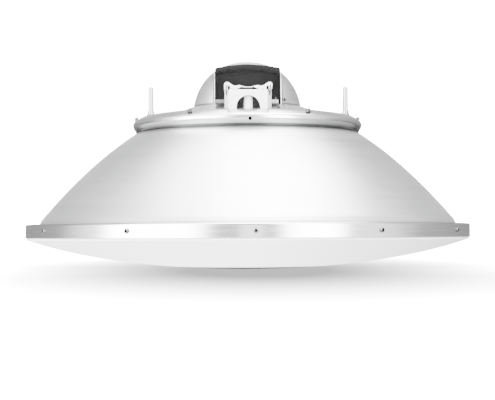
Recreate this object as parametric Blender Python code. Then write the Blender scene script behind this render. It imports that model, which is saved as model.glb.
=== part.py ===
"""Shielded parabolic microwave dish antenna, lying face down on its radome.

Metres, +Z up along the dish axis. The origin is the centre of the radome's resting flat, and the
mount bracket stands on the -Y side. Sizes are written in millimetres and turned to metres by MM.
"""

import math

import bmesh
import bpy
from mathutils import Matrix, Vector

MM = 0.001
GAP = 0.3                       # clearance between pieces that touch

# Rim: clamp hoop, radome skirt and reflector flange
RIM_RADIUS = 325.0
BAND_BOTTOM = 45.0
BAND_TOP = 65.0
BAND_SHEET = 1.5
BAND_LIP_RADIUS = 309.0
BAND_CORNER = 3.0
RIM_SEGMENTS = 60
SCREW_COUNT = 12
SCREW_TURN = 0.8                # the hoop is clamped on at its own angle, in degrees
SCREW_HEIGHT = 55.0
SCREW_HEAD_RADIUS = 3.4
SCREW_HEAD_HEIGHT = 2.4
SCREW_SHANK_RADIUS = 1.7
SCREW_LENGTH = 9.0

# Reflector: a spun paraboloid whose outer face is r^2 = 4 f (vertex - z), with a flat hub seat
FOCAL_LENGTH = 126.3
VERTEX_HEIGHT = 250.8
REFLECTOR_SHEET = 2.0
SEAT_HEIGHT = 226.9
FEED_BORE_RADIUS = 25.0
REFLECTOR_EDGE = 304.0
FLANGE_TOP = BAND_TOP - BAND_SHEET - GAP
FLANGE_RADIUS = RIM_RADIUS - BAND_SHEET - GAP

# Radome: shallow dome with a resting flat, closed by a skirt inside the hoop
RADOME_SHEET = 3.0
RADOME_FLAT = 40.0
RADOME_ROUND_DROP = 34.0
RADOME_EDGE_DROP = 9.0
RADOME_EDGE_POWER = 5

# Back ring: spun annulus with a hub seat, a steep and a gentle cone and a rolled edge; each corner of
# its outline is a radius, a height and a fillet
RING_SHEET = 2.0
RING_BORE_RADIUS = 60.0
RING_SEAT_HEIGHT = 237.0
RING_CORNERS = ((RING_BORE_RADIUS, RING_SEAT_HEIGHT, 0.0), (84.0, RING_SEAT_HEIGHT, 12.0),
                (100.0, 230.8, 22.0), (156.7, 222.1, 18.0), (170.3, 213.5, 7.0), (164.9, 199.4, 0.0))
DRAIN_HOLE_RADIUS = 1.8
DRAIN_HOLE_PLACE = 0.9
DRAIN_HOLE_HEIGHT = 207.9

# Hub: base plate on the ring's seat and the hemispherical dome over it
DOME_RADIUS = 78.9
DOME_CENTRE_HEIGHT = 228.5
DOME_SHEET = 2.5
CHEEK_INNER = 47.3
CHEEK_OUTER = 48.9
CHEEK_PROUD = 0.8
PLATE_LEFT = -46.9
PLATE_RIGHT = 43.9
PLATE_FRONT = -62.0
PLATE_BACK = 56.0
PLATE_TOP = 243.8
TAB_LOW = (38.8, -54.0)
TAB_HIGH = (42.0, -48.0)
TAB_TOP = 249.5

# Hood: dark moulded cover between the cheeks, open to the front and below
HOOD_HALF = 47.0
HOOD_FRONT = -45.0
HOOD_WALL = 2.0
HOOD_BACK = 3.0
HOOD_CROWN = 296.4
HOOD_ROOF_RADIUS = 180.0
HOOD_CEILING = 291.9
HOOD_CEILING_RADIUS = 165.0
HOOD_CORNER = 5.0

# Mount bracket: hollow casting on the back ring, a saddle jaw on top and a post in its arch, all set a
# little to the left of the dish axis
BRACKET_PLACE = -1.1
CASTING_FRONT = -153.5
CASTING_REAR = -98.0
CASTING_WALL = 4.0
FRONT_HALF = 26.5
WING_HALF = 33.4
WING_FRONT = -135.0
CASTING_TOP = 248.0
ARCH_HALF = 15.4
ARCH_SPRING = 223.8
JAW_FRONT = -152.5
JAW_REAR = -100.0
JAW_HALF = 33.8
SLOT_PLACE = 26.6
SLOT_HALF = 1.0
SLOT_TOP = 252.3
POST_RADIUS = 6.2
POST_PLACE = -141.0

# Studs on the back ring
STUD_RADIUS = 3.6
STUD_LEFT = -142.8
STUD_RIGHT = 145.8
STUD_TOP = 267.6
NUT_RADIUS = 4.4
NUT_FOOT_RADIUS = 6.0
NUT_HEIGHT = 7.5
NUT_TOP = 232.4


def clear_scene():
    for obj in list(bpy.data.objects):
        bpy.data.objects.remove(obj)


def material(name, colour, roughness, metallic):
    made = bpy.data.materials.new(name)
    made.use_nodes = True
    shader = made.node_tree.nodes["Principled BSDF"]
    shader.inputs["Base Color"].default_value = (*colour, 1.0)
    shader.inputs["Roughness"].default_value = roughness
    shader.inputs["Metallic"].default_value = metallic
    return made


def add_object(name, mesh, finish):
    obj = bpy.data.objects.new(name, mesh)
    bpy.context.scene.collection.objects.link(obj)
    if finish is not None:
        mesh.materials.append(finish)
    return obj


def finish_mesh(bm, name):
    bmesh.ops.remove_doubles(bm, verts=bm.verts, dist=1e-6)
    bmesh.ops.recalc_face_normals(bm, faces=bm.faces)
    mesh = bpy.data.meshes.new(name)
    bm.to_mesh(mesh)
    bm.free()
    return mesh


def smooth(obj, degrees=35.0):
    obj.data.shade_smooth()
    obj.data.set_sharp_from_angle(angle=math.radians(degrees))


def lathe(name, profile, finish, segments, turn=0.0):
    """Turns a closed (radius, height) outline in millimetres about the dish axis."""
    bm = bmesh.new()
    rings = []
    for radius, height in profile:
        if radius < 1e-6:
            rings.append([bm.verts.new((0.0, 0.0, height * MM))])
            continue
        ring = []
        for step in range(segments):
            angle = math.radians(turn) + 2.0 * math.pi * step / segments
            ring.append(bm.verts.new((radius * MM * math.cos(angle),
                                      radius * MM * math.sin(angle), height * MM)))
        rings.append(ring)
    for index, ring in enumerate(rings):
        following = rings[(index + 1) % len(rings)]
        if len(ring) == 1 and len(following) == 1:
            continue
        for step in range(segments):
            after = (step + 1) % segments
            quad = [ring[step % len(ring)], ring[after % len(ring)],
                    following[after % len(following)], following[step % len(following)]]
            unique = list(dict.fromkeys(quad))
            bm.faces.new(unique)
    obj = add_object(name, finish_mesh(bm, name), finish)
    smooth(obj)
    return obj


def extrude_outline(name, outline, low, high, finish, axis="Z"):
    """A flat outline in millimetres, pushed from low to high along one axis.

    The outline lies in XY for axis Z, in XZ for axis Y and in YZ for axis X.
    """
    bm = bmesh.new()
    ends = []
    for level in (low, high):
        if axis == "Z":
            points = [(u * MM, v * MM, level * MM) for u, v in outline]
        elif axis == "Y":
            points = [(u * MM, level * MM, v * MM) for u, v in outline]
        else:
            points = [(level * MM, u * MM, v * MM) for u, v in outline]
        ends.append([bm.verts.new(point) for point in points])
    count = len(outline)
    bm.faces.new(ends[0])
    bm.faces.new(ends[1])
    for index in range(count):
        after = (index + 1) % count
        bm.faces.new((ends[0][index], ends[0][after], ends[1][after], ends[1][index]))
    return add_object(name, finish_mesh(bm, name), finish)


def block(name, low, high, finish=None):
    """A box between two corners, in millimetres."""
    outline = [(low[0], low[1]), (high[0], low[1]), (high[0], high[1]), (low[0], high[1])]
    return extrude_outline(name, outline, low[2], high[2], finish)


def turned(name, profile, finish, segments, place, direction):
    """A closed (radius, height) outline turned about its own axis, set at place along direction."""
    obj = lathe(name, profile, finish, segments)
    aim = Vector(direction).normalized().to_track_quat("Z", "Y").to_matrix().to_4x4()
    obj.data.transform(Matrix.Translation(Vector(place) * MM) @ aim)
    return obj


def arc(centre, radius, start, end, steps):
    """Points on a circle from start to end degrees, both ends included."""
    points = []
    for step in range(steps + 1):
        angle = math.radians(start + (end - start) * step / steps)
        points.append((centre[0] + radius * math.cos(angle), centre[1] + radius * math.sin(angle)))
    return points


def rounded_path(corners, steps=3):
    """An open outline through (x, z, fillet) corners, with an arc of that radius in each inner corner."""
    path = [Vector(corners[0][:2])]
    for before, corner, after in zip(corners, corners[1:], corners[2:]):
        point = Vector(corner[:2])
        back = (Vector(before[:2]) - point).normalized()
        ahead = (Vector(after[:2]) - point).normalized()
        half = back.angle(ahead) / 2.0
        centre = point + (back + ahead).normalized() * (corner[2] / math.sin(half))
        start = point + back * (corner[2] / math.tan(half)) - centre
        sweep = start.angle_signed(point + ahead * (corner[2] / math.tan(half)) - centre)
        for step in range(steps + 1):
            path.append(centre + Matrix.Rotation(-sweep * step / steps, 2) @ start)
    path.append(Vector(corners[-1][:2]))
    return [(point.x, point.y) for point in path]


def cut(target, cutter, operation="DIFFERENCE"):
    """Applies a Boolean at once and drops the cutter."""
    modifier = target.modifiers.new("cut", "BOOLEAN")
    modifier.operation = operation
    modifier.solver = "EXACT"
    modifier.object = cutter
    graph = bpy.context.evaluated_depsgraph_get()
    result = bpy.data.meshes.new_from_object(target.evaluated_get(graph))
    target.modifiers.clear()
    former = target.data
    target.data = result
    result.name = target.name
    bpy.data.meshes.remove(former)
    bpy.data.objects.remove(cutter)
    return target


def shift(obj, across):
    """Moves an object's shape sideways by a distance in millimetres."""
    obj.data.transform(Matrix.Translation((across * MM, 0.0, 0.0)))
    return obj


def bore_cutter(places, direction, radius, length, sides=12):
    """Round cutters of one radius in a single object; direction may be one way or one for each."""
    parts = []
    for index, place in enumerate(places):
        way = direction[index] if isinstance(direction, list) else direction
        profile = [(0.0, 0.0), (radius, 0.0), (radius, length), (0.0, length)]
        parts.append(turned("bore_cutter", profile, None, sides, place, way))
    bm = bmesh.new()
    for piece in parts:
        bm.from_mesh(piece.data)
        bpy.data.objects.remove(piece)
    mesh = bpy.data.meshes.new("bore_cutter")
    bm.to_mesh(mesh)
    bm.free()
    return add_object("bore_cutter", mesh, None)


def dish_height(radius, inside=0.0):
    """Height of the reflector's outer face at a radius, or of the face this far inside it."""
    slope = radius / (2.0 * FOCAL_LENGTH)
    drop = inside * math.sqrt(1.0 + slope * slope)
    return VERTEX_HEIGHT - radius * radius / (4.0 * FOCAL_LENGTH) - drop


def dish_radius(height):
    return math.sqrt(4.0 * FOCAL_LENGTH * (VERTEX_HEIGHT - height))


def spaced(low, high, count):
    return [low + (high - low) * step / (count - 1) for step in range(count)]


def around(count, start=0.0):
    return [math.radians(start) + 2.0 * math.pi * step / count for step in range(count)]


def build_reflector(finish):
    seat_edge = dish_radius(SEAT_HEIGHT)
    outer = [(FEED_BORE_RADIUS, SEAT_HEIGHT)]
    outer += [(r, dish_height(r)) for r in spaced(seat_edge, REFLECTOR_EDGE, 10)]
    under_edge = seat_edge - 1.0
    inner = [(r, dish_height(r, REFLECTOR_SHEET)) for r in spaced(under_edge, REFLECTOR_EDGE - 2.5, 10)]
    low = FLANGE_TOP - REFLECTOR_SHEET
    flange = [(REFLECTOR_EDGE + 2.5, FLANGE_TOP), (FLANGE_RADIUS, FLANGE_TOP), (FLANGE_RADIUS, low),
              (REFLECTOR_EDGE + 0.5, low)]
    profile = outer + flange + inner[::-1] + [(FEED_BORE_RADIUS, inner[0][1])]
    return lathe("reflector", profile, finish, RIM_SEGMENTS)


def radome_height(radius):
    """Height of the radome's outer face: a resting flat, then a dome that steepens outwards."""
    if radius <= RADOME_FLAT:
        return 0.0
    share = (radius * radius - RADOME_FLAT * RADOME_FLAT) / (FLANGE_RADIUS ** 2 - RADOME_FLAT ** 2)
    edge = (radius / FLANGE_RADIUS) ** RADOME_EDGE_POWER
    return RADOME_ROUND_DROP * share + RADOME_EDGE_DROP * edge


def build_radome(finish):
    radii = [RADOME_FLAT] + spaced(75.0, FLANGE_RADIUS - 2.5, 9)
    outer = [(r, radome_height(r)) for r in radii]
    inner = [(r - 1.0, radome_height(r) + RADOME_SHEET) for r in radii[:-1]]
    skirt_top = FLANGE_TOP - REFLECTOR_SHEET - GAP
    rim_low = outer[-1][1]
    skirt = [(FLANGE_RADIUS, rim_low + 1.2), (FLANGE_RADIUS, skirt_top),
             (FLANGE_RADIUS - RADOME_SHEET, skirt_top),
             (FLANGE_RADIUS - RADOME_SHEET, rim_low + RADOME_SHEET)]
    profile = [(0.0, 0.0)] + outer + skirt + inner[::-1] + [(0.0, RADOME_SHEET)]
    radome = lathe("radome", profile, finish, RIM_SEGMENTS)
    drill_rim(radome)
    return radome


def build_rim_band(finish):
    corner = (RIM_RADIUS - BAND_CORNER, BAND_TOP - BAND_CORNER)
    inner = RIM_RADIUS - BAND_SHEET
    profile = ([(RIM_RADIUS, BAND_BOTTOM)] + arc(corner, BAND_CORNER, 0, 90, 3)
               + [(BAND_LIP_RADIUS, BAND_TOP), (BAND_LIP_RADIUS, BAND_TOP - BAND_SHEET),
                  (inner, BAND_TOP - BAND_SHEET), (inner, BAND_BOTTOM)])
    band = lathe("rim_band", profile, finish, RIM_SEGMENTS)
    drill_rim(band)
    return band


def drill_rim(target):
    """Cuts the clearance holes of the rim screws."""
    ways = [(math.cos(angle), math.sin(angle), 0.0) for angle in around(SCREW_COUNT, SCREW_TURN)]
    places = [(300.0 * x, 300.0 * y, SCREW_HEIGHT) for x, y, z in ways]
    cut(target, bore_cutter(places, ways, SCREW_SHANK_RADIUS + GAP, 40.0, sides=8))
    smooth(target)


def build_rim_screws(finish):
    start = RIM_RADIUS + GAP
    for index, angle in enumerate(around(SCREW_COUNT, SCREW_TURN)):
        way = (math.cos(angle), math.sin(angle), 0.0)
        place = (start * way[0], start * way[1], SCREW_HEIGHT)
        head = SCREW_HEAD_HEIGHT
        profile = [(0.0, -SCREW_LENGTH), (SCREW_SHANK_RADIUS, -SCREW_LENGTH), (SCREW_SHANK_RADIUS, 0.0),
                   (SCREW_HEAD_RADIUS, 0.0), (SCREW_HEAD_RADIUS, 0.55 * head),
                   (0.72 * SCREW_HEAD_RADIUS, head), (1.5, head), (1.1, head - 1.2), (0.0, head - 1.2)]
        turned("rim_screw_" + format(index + 1, "02d"), profile, finish, 12, place, way)


def ring_crown():
    """The back ring's outer outline from its bore down to the end of its hem."""
    return rounded_path(RING_CORNERS)


def ring_shoulder():
    """The part of that outline from the bore to its widest point."""
    crown = ring_crown()
    widest = max(range(len(crown)), key=lambda index: crown[index][0])
    return crown[:widest + 1]


def offset_inward(points, distance):
    """The same open outline moved to its right by a distance, corner by corner."""
    moved = []
    for index, (x, z) in enumerate(points):
        before = points[max(index - 1, 0)]
        after = points[min(index + 1, len(points) - 1)]
        along = (after[0] - before[0], after[1] - before[1])
        length = math.hypot(*along)
        moved.append((x + distance * along[1] / length, z - distance * along[0] / length))
    return moved


def build_back_ring(finish):
    top = ring_crown()
    under = offset_inward(top, RING_SHEET)
    ring = lathe("back_ring", top + under[::-1], finish, 48, turn=3.75)
    outside = ring_shoulder()[-1][0]
    drain = (DRAIN_HOLE_PLACE, 5.0 - outside, DRAIN_HOLE_HEIGHT)
    cut(ring, bore_cutter([drain], (0, -1, 0), DRAIN_HOLE_RADIUS, 12.0, sides=8))
    studs = [(STUD_LEFT, 0.0, 215.0), (STUD_RIGHT, 0.0, 215.0)]
    cut(ring, bore_cutter(studs, (0, 0, 1), STUD_RADIUS + GAP, 30.0))
    smooth(ring)
    return ring


def build_dome(finish):
    foot = RING_SEAT_HEIGHT + GAP
    inner_radius = DOME_RADIUS - DOME_SHEET
    low = math.degrees(math.asin((foot - DOME_CENTRE_HEIGHT) / DOME_RADIUS))
    inner_low = math.degrees(math.asin((foot - DOME_CENTRE_HEIGHT) / inner_radius))
    centre = (0.0, DOME_CENTRE_HEIGHT)
    profile = arc(centre, DOME_RADIUS, low, 90, 10)[:-1] + [(0.0, DOME_CENTRE_HEIGHT + DOME_RADIUS)]
    profile += [(0.0, DOME_CENTRE_HEIGHT + inner_radius)] + arc(centre, inner_radius, 90, inner_low, 10)[1:]
    dome = lathe("hub_dome", profile, finish, 40)
    half = CHEEK_OUTER + GAP
    cut(dome, block("notch", (-half, -100.0, 230.0), (half, GAP, 320.0)))
    smooth(dome)
    return dome


def build_cheek(name, low, high, finish):
    radius = math.sqrt(DOME_RADIUS ** 2 - CHEEK_INNER ** 2) + CHEEK_PROUD
    foot = RING_SEAT_HEIGHT + GAP
    start = 180.0 - math.degrees(math.asin((foot - DOME_CENTRE_HEIGHT) / radius))
    outline = [(0.0, foot)] + arc((0.0, DOME_CENTRE_HEIGHT), radius, 90.0, start, 14)
    cheek = extrude_outline(name, outline, low, high, finish, axis="X")
    smooth(cheek)
    return cheek


def build_hub_plate(finish):
    foot = RING_SEAT_HEIGHT + GAP
    return block("hub_plate", (PLATE_LEFT, PLATE_FRONT, foot), (PLATE_RIGHT, PLATE_BACK, PLATE_TOP), finish)


def hood_outline(half, crown, roof_radius, corner, foot):
    """Front outline of the hood in XZ: straight sides, round shoulders and an arched roof."""
    reach = half - corner
    lean = math.degrees(math.asin(reach / roof_radius))
    roof = arc((0.0, crown - roof_radius), roof_radius, 90 - lean, 90 + lean, 8)
    shoulder = roof[0][1] - corner
    outline = [(half, foot)] + arc((reach, shoulder), corner, 0, 75, 3) + roof
    return outline + arc((-reach, shoulder), corner, 105, 180, 3) + [(-half, foot)]


def build_hood(finish):
    foot = PLATE_TOP + GAP
    outer = hood_outline(HOOD_HALF, HOOD_CROWN, HOOD_ROOF_RADIUS, HOOD_CORNER, foot)
    hood = extrude_outline("hood", outer, HOOD_FRONT, 0.0, finish, axis="Y")
    half = HOOD_HALF - HOOD_WALL
    inner = hood_outline(half, HOOD_CEILING, HOOD_CEILING_RADIUS, HOOD_CORNER - 1.0, foot - 5.0)
    cut(hood, extrude_outline("bay", inner, HOOD_FRONT - 5.0, -HOOD_BACK, None, axis="Y"))
    smooth(hood)
    return hood


def build_tab(finish):
    foot = PLATE_TOP + GAP
    return block("latch_tab", (TAB_LOW[0], TAB_LOW[1], foot), (TAB_HIGH[0], TAB_HIGH[1], TAB_TOP), finish)


def ring_cutter():
    """Everything under the back ring's upper face, grown by the clearance."""
    points = offset_inward(ring_shoulder(), -GAP)
    return lathe("ring_cutter", [(points[0][0], 150.0)] + points + [(points[-1][0], 150.0)], None, 96)


def build_bracket(finish):
    outline = [(-FRONT_HALF, CASTING_FRONT), (FRONT_HALF, CASTING_FRONT),
               (FRONT_HALF + 1.0, WING_FRONT - 1.0), (WING_HALF, WING_FRONT), (WING_HALF, CASTING_REAR),
               (-WING_HALF, CASTING_REAR), (-WING_HALF, WING_FRONT), (-FRONT_HALF - 1.0, WING_FRONT - 1.0)]
    body = extrude_outline("bracket_body", outline, 200.0, CASTING_TOP, finish)
    wall = CASTING_WALL
    cut(body, block("cavity", (-FRONT_HALF + wall, CASTING_FRONT + wall, 190.0),
                    (FRONT_HALF - wall, CASTING_REAR - wall, CASTING_TOP - wall)))
    arch = [(ARCH_HALF, 190.0)] + arc((0.0, ARCH_SPRING), ARCH_HALF, 0, 180, 12) + [(-ARCH_HALF, 190.0)]
    cut(body, extrude_outline("arch", arch, CASTING_FRONT - 5.0, CASTING_FRONT + wall + 1.0, None, axis="Y"))
    cut(shift(body, BRACKET_PLACE), ring_cutter())
    smooth(body)
    return body


def build_post(finish):
    top = CASTING_TOP - CASTING_WALL - GAP
    profile = [(0.0, 200.0), (POST_RADIUS, 200.0), (POST_RADIUS, top), (0.0, top)]
    post = turned("bracket_post", profile, finish, 24, (BRACKET_PLACE, POST_PLACE, 0.0), (0, 0, 1))
    cut(post, ring_cutter())
    smooth(post)
    return post


def build_jaw(finish):
    """Saddle jaw: an ear at each end, two low bumps, and a thin slit with two peaks under the middle."""
    low = CASTING_TOP + GAP
    half = [(0.0, 252.5), (4.0, 252.7), (8.5, 253.8), (12.3, 254.8), (15.5, 254.2), (18.0, 253.7),
            (21.5, 254.8), (25.5, 257.2), (28.3, 258.5), (30.0, 258.6), (32.6, 257.4), (JAW_HALF, 255.6),
            (JAW_HALF - 0.7, low), (14.0, low), (10.0, low + 1.5), (8.0, low + 2.4), (6.4, low + 1.6)]
    outline = [(x, z) for x, z in half] + [(-x, z) for x, z in half[::-1] if x > 0.0]
    jaw = extrude_outline("saddle_jaw", outline, JAW_FRONT, JAW_REAR, finish, axis="Y")
    for side in (-1, 1):
        near = side * SLOT_PLACE - SLOT_HALF
        far = side * SLOT_PLACE + SLOT_HALF
        cut(jaw, block("slot", (near, JAW_FRONT - 4.0, low - 4.0), (far, JAW_FRONT + 14.0, SLOT_TOP)))
    smooth(shift(jaw, BRACKET_PLACE))
    return jaw


def build_stud(name, across, finish):
    foot = 219.0
    tip = arc((0.0, STUD_TOP - STUD_RADIUS), STUD_RADIUS, 0, 75, 4)
    profile = [(0.0, foot), (STUD_RADIUS, foot)] + tip + [(0.0, STUD_TOP)]
    return turned(name, profile, finish, 20, (across, 0.0, 0.0), (0, 0, 1))


def build_stud_nut(name, across, finish):
    bore = STUD_RADIUS + GAP
    top = NUT_TOP
    profile = [(bore, top - 2.0 * NUT_HEIGHT), (NUT_FOOT_RADIUS, top - 2.0 * NUT_HEIGHT),
               (NUT_FOOT_RADIUS, top - NUT_HEIGHT + 1.0), (NUT_RADIUS, top - 0.5),
               (NUT_RADIUS - 0.3, top), (bore, top)]
    nut = turned(name, profile, finish, 24, (across, 0.0, 0.0), (0, 0, 1))
    cut(nut, ring_cutter())
    smooth(nut)
    return nut


def main():
    clear_scene()
    paint = material("reflector_paint", (0.62, 0.63, 0.63), 0.42, 0.35)
    polished = material("rim_aluminium", (0.80, 0.81, 0.81), 0.25, 0.9)
    plastic = material("radome_plastic", (0.86, 0.86, 0.84), 0.45, 0.0)
    dark = material("hood_plastic", (0.06, 0.06, 0.062), 0.45, 0.0)
    cast = material("cast_white", (0.85, 0.86, 0.86), 0.4, 0.2)
    steel = material("fastener_steel", (0.62, 0.62, 0.61), 0.3, 0.95)
    build_reflector(paint)
    build_radome(plastic)
    build_rim_band(polished)
    build_rim_screws(steel)
    build_back_ring(paint)
    build_dome(paint)
    build_cheek("cheek_left", -CHEEK_OUTER, -CHEEK_INNER, cast)
    build_cheek("cheek_right", CHEEK_INNER, CHEEK_OUTER, cast)
    build_hub_plate(paint)
    build_hood(dark)
    build_tab(cast)
    build_bracket(cast)
    build_post(cast)
    build_jaw(cast)
    build_stud("stud_left", STUD_LEFT, steel)
    build_stud("stud_right", STUD_RIGHT, steel)
    build_stud_nut("stud_nut_left", STUD_LEFT, steel)
    build_stud_nut("stud_nut_right", STUD_RIGHT, steel)


main()
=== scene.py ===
"""Looks of a shielded microwave dish antenna that lies face down on its radome.

The dish axis is +Z and the mount bracket stands on the -Y side. Sizes are written in millimetres and
turned to metres by MM.
"""

import math

import bmesh
import bpy
from mathutils import Matrix, Vector


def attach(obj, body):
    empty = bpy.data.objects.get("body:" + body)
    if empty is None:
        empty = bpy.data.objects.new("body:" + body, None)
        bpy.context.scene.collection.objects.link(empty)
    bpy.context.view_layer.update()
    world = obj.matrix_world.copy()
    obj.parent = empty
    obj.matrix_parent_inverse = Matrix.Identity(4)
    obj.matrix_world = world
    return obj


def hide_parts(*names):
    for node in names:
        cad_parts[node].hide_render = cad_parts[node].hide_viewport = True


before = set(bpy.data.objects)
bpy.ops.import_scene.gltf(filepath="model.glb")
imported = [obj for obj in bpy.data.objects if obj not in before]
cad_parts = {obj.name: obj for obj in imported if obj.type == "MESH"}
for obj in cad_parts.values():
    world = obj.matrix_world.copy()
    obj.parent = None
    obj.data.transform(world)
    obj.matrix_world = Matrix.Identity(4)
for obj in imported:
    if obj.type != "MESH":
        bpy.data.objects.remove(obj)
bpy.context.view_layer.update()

MM = 0.001
GAP = 0.3
SEGMENTS = 256
SHARP_ANGLE = 35.0
MERGE_METRES = 1e-7
ON_AXIS = 1e-6
OVERRUN = 5.0  # how far most cutters reach past what they cut

# Rim
RIM_RADIUS = 325.0
BAND_BOTTOM = 45.0
BAND_TOP = 65.0
BAND_SHEET = 1.5
BAND_LIP_RADIUS = 309.0
BAND_CORNER = 3.0
BAND_FILLET = 1.4
BAND_LOOPS = (0.9, 1.2, 3.0, 6.2, 9.4, 12.6, 15.8, 16.7)  # edge loops, up from the hoop's foot
SCREW_COUNT = 12
SCREW_TURN = 0.8
SCREW_HEIGHT = 55.0
SCREW_BORE_RADIUS = 2.7
SCREW_BORE_START = 300.0
SCREW_BORE_LENGTH = 40.0

# Screws: head radius, head height, shank radius, shank length, depth of the driver's recess
HOOP_SCREW = (3.4, 2.4, 1.7, 9.0, 1.7)
RING_SCREW = (3.2, 6.2, 1.7, 5.0, 1.8)
DOME_SCREW = (2.8, 2.1, 1.4, 5.0, 1.2)
HEAD_EDGE = 0.42
HEAD_FOOT = 0.13
# share of a head's height whose foot takes painted shade
DARK_FOOT = 0.2
HEAD_BEND = 0.25
RECESS_ARM = 0.56
RECESS_HALF = 0.68
RECESS_TAPER = 0.7

# Reflector
FOCAL_LENGTH = 126.3
VERTEX_HEIGHT = 251.7
REFLECTOR_SHEET = 2.0
SEAT_HEIGHT = 226.9
FEED_BORE_RADIUS = 25.0
REFLECTOR_EDGE = 304.0
TOE_RADIUS = 2.4
TOE_OUT = 3.2
FLANGE_TOP = BAND_TOP - BAND_SHEET - GAP
FLANGE_RADIUS = RIM_RADIUS - BAND_SHEET - GAP
FLANGE_CHAMFER = 0.5

# Radome
RADOME_SHEET = 3.0
RADOME_FLAT = 40.0
RADOME_ROUND_DROP = 34.0
RADOME_EDGE_DROP = 9.0
RADOME_EDGE_POWER = 5
RADOME_SHARP_ANGLE = 50.0
BEAD_RADIUS = 1.35
BEAD_CLEAR = 0.15
SKIRT_CHAMFER = 0.6

# Back ring
RING_SHEET = 2.0
RING_BORE_RADIUS = 60.0
RING_SEAT_HEIGHT = 237.0
RING_CORNERS = ((RING_BORE_RADIUS, RING_SEAT_HEIGHT, 0.0), (84.0, RING_SEAT_HEIGHT, 12.0),
                (100.0, 230.8, 22.0), (156.7, 222.1, 18.0), (171.3, 212.4, 7.0), (166.0, 202.6, 1.5),
                (164.7, 199.6, 0.0))
DRAIN_HOLE_RADIUS = 2.4
DRAIN_HOLE_PLACE = 0.9
DRAIN_HOLE_HEIGHT = 207.9
DRAIN_HOLE_DEPTH = 5.0
DRAIN_BORE_LENGTH = 12.0
RING_SCREW_COUNT = 6
RING_SCREW_RADIUS = 163.2
RING_SCREW_LEAN = 72.0
RING_SCREW_LIFT = 0.4
CUTTER_FOOT = 150.0
CUTTER_CLEAR = 0.3 * GAP

# Hub
HUB_FOOT = RING_SEAT_HEIGHT + GAP
DOME_RADIUS = 79.9
DOME_CENTRE_HEIGHT = 228.3
DOME_SHEET = 5.2
DOME_END = 60.0
CAP_START = 67.0
CAP_RADIUS = 100.0
CAP_TOP = 306.3
CHEEK_INNER = 47.8
CHEEK_OUTER = 48.8
CHEEK_PROUD = 0.8
CHEEK_ROUND = 0.45
NOTCH_HALF = CHEEK_OUTER + 4.5 * GAP
NOTCH_LOW = (-NOTCH_HALF, -100.0, 230.0)
NOTCH_HIGH = (NOTCH_HALF, GAP, 320.0)
PLATE_LEFT = -46.9
PLATE_RIGHT = 43.9
PLATE_FRONT = -62.0
PLATE_BACK = 56.0
PLATE_TOP = 243.8
PLATE_REST = PLATE_TOP + GAP
PLATE_ROUND = 0.6
HOOD_HALF = 47.5
HOOD_FRONT = -45.0
HOOD_WALL = 2.0
HOOD_BACK = 3.0
HOOD_CROWN = 296.9
HOOD_ROOF_RADIUS = 225.0
HOOD_CEILING = 291.9
HOOD_CEILING_RADIUS = 165.0
HOOD_CORNER = 4.0
HOOD_ROUND = 0.35
TAB_LOW = (39.4, -54.0, PLATE_REST)
TAB_HIGH = (41.6, -48.0, 248.3)
TAB_ROUND = 0.5
DOME_SCREW_SIDE = 51.7
DOME_SCREW_HEIGHT = 243.9

# Mount bracket
BRACKET_PLACE = -1.1
CASTING_FRONT = -153.5
CASTING_REAR = -98.0
CASTING_WALL = 4.0
CASTING_FOOT = 200.0
CASTING_TOP = 249.0
CASTING_ROUND = 0.7
FRONT_HALF = 26.5
WING_HALF = 32.2
WING_FRONT = -135.0
ARCH_HALF = 16.4
ARCH_SPRING = 224.7
JAW_FRONT = -152.5
JAW_REAR = -100.0
JAW_HALF = 33.1
JAW_FOOT = CASTING_TOP + GAP
JAW_ROUND = 0.5
JAW_WAVE = ((0.0, 252.5), (4.0, 252.7), (8.5, 253.8), (12.3, 254.8), (15.5, 254.2), (18.0, 253.7),
            (21.5, 254.9), (25.5, 257.6), (28.3, 259.0), (30.0, 259.1), (32.2, 257.8), (JAW_HALF, 255.9))
SLIT = ((14.4, 0.0), (10.2, 1.9), (8.0, 3.0), (6.2, 2.1))
SLIT_SHIFT = -0.9
SLIT_REACH = 15.0
SLOT_PLACE = 26.6
SLOT_HALF = 1.6
SLOT_TOP = 254.2
SLOT_DEPTH = 14.0
SLOT_OVERRUN = 4.0
GROOVE_PLACE = 30.2
GROOVE_HALF = 1.0
GROOVE_DEPTH = 1.5
GROOVE_FOOT = 242.8
GROOVE_TOP = 255.6
GROOVE_OVERRUN = 3.0
POST_RADIUS = 6.2
POST_PLACE = -141.0
POST_CHAMFER = 0.8

# Studs
STUD_RADIUS = 3.8
STUD_LEFT = -142.8
STUD_RIGHT = 145.8
STUD_FOOT = 219.0
STUD_TOP = 269.4
STUD_BORE_FOOT = 215.0
STUD_BORE_LENGTH = 30.0
NUT_RADIUS = 4.7
NUT_FOOT_RADIUS = 6.4
NUT_HEIGHT = 7.5
NUT_TOP = 233.6
NUT_CHAMFER = 0.3
# radius of the nut and height from its top
NUT_FLARE = ((NUT_FOOT_RADIUS, -6.5), (5.3, -4.2), (4.8, -1.4), (NUT_RADIUS, -0.5))

# Painted shade, darkening the paint where it lies in deep shadow: height of the full shade, height where
# it ends, depth, and how much deeper (above zero) or shallower the flanks are than the middle
REFLECTOR_SHADE = ((199.5, 193.5, 0.4, 0.0), (66.2, 68.6, 0.36, -0.55))
RING_SHADE = ((204.0, 216.0, 0.42, 0.65), (201.5, 207.0, 0.5, 0.4), (201.6, 203.0, 0.7, -0.25))
DOME_SHADE = ((237.8, 240.6, 0.92, 0.0),)
PLATE_SHADE = ((238.4, 239.8, 0.85, 0.0), (300.0, 500.0, 0.7, 0.0))
FLANK_START = 75.0
FLANK_END = 145.0
PAINT_METAL = 0.94
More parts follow.
